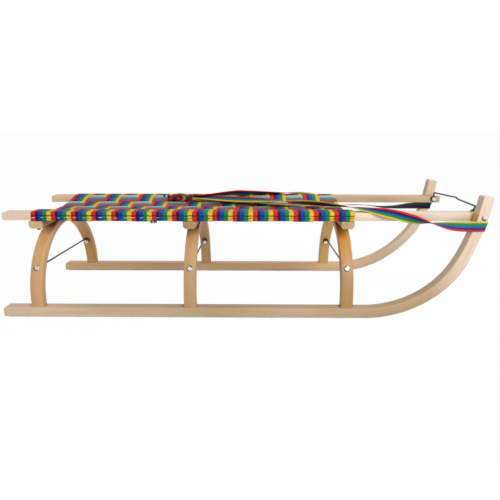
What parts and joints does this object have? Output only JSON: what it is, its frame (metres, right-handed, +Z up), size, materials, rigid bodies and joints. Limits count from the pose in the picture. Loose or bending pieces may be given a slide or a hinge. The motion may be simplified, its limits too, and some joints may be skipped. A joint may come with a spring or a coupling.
{
  "type": "wooden sled",
  "caption": "Wooden sled with three bent arches, upturned runner horns, a woven webbing seat and a knotted webbing pull strap.",
  "frame": {"origin": "on the ground, under the middle of the sled's box", "axes": "+X forward towards the horns, +Y to the sled's left, +Z up"},
  "size_m": [1.1048, 0.36, 0.2818],
  "materials": {
    "runner_wood": "satin",
    "rail_wood": "satin",
    "arch_wood": "satin",
    "shoe_steel": "satin",
    "zinc_steel": "satin",
    "dark_wire": "satin",
    "seat_webbing": "matte",
    "strap_webbing": "matte"
  },
  "bodies": {
    "root": {"arch_front": "arch_wood", "arch_middle": "arch_wood", "arch_rear": "arch_wood", "cross_band_01": "seat_webbing", "cross_band_02": "seat_webbing", "cross_band_03": "seat_webbing", "cross_band_04": "seat_webbing", "cross_band_05": "seat_webbing", "cross_band_06": "seat_webbing", "cross_band_07": "seat_webbing", "cross_band_08": "seat_webbing", "cross_band_09": "seat_webbing", "cross_band_10": "seat_webbing", "cross_band_11": "seat_webbing", "cross_band_12": "seat_webbing", "cross_band_13": "seat_webbing", "cross_band_14": "seat_webbing", "cross_band_15": "seat_webbing", "cross_band_16": "seat_webbing", "crossbar_front": "rail_wood", "crossbar_middle": "rail_wood", "crossbar_rear": "rail_wood", "front_brace": "dark_wire", "horn_bolt_left": "zinc_steel", "horn_bolt_right": "zinc_steel", "horn_nut_left": "zinc_steel", "horn_nut_right": "zinc_steel", "leg_bolts_left": "zinc_steel", "leg_bolts_right": "zinc_steel", "leg_nuts_left": "zinc_steel", "leg_nuts_right": "zinc_steel", "long_band_1": "seat_webbing", "long_band_2": "seat_webbing", "long_band_3": "seat_webbing", "long_band_4": "seat_webbing", "long_band_5": "seat_webbing", "pull_strap_left": "strap_webbing", "pull_strap_right": "strap_webbing", "pull_strap_tail": "strap_webbing", "rail_screws_left": "zinc_steel", "rail_screws_right": "zinc_steel", "runner_left": "runner_wood", "runner_right": "runner_wood", "runner_shoe_left": "shoe_steel", "runner_shoe_right": "shoe_steel", "seat_rail_left": "rail_wood", "seat_rail_right": "rail_wood", "strap_knot": "strap_webbing", "strap_loop_left": "strap_webbing", "strap_loop_right": "strap_webbing", "tie_rod_front": "zinc_steel", "tie_rod_middle": "zinc_steel", "tie_rod_rear": "zinc_steel"}
  },
  "joints": []
}
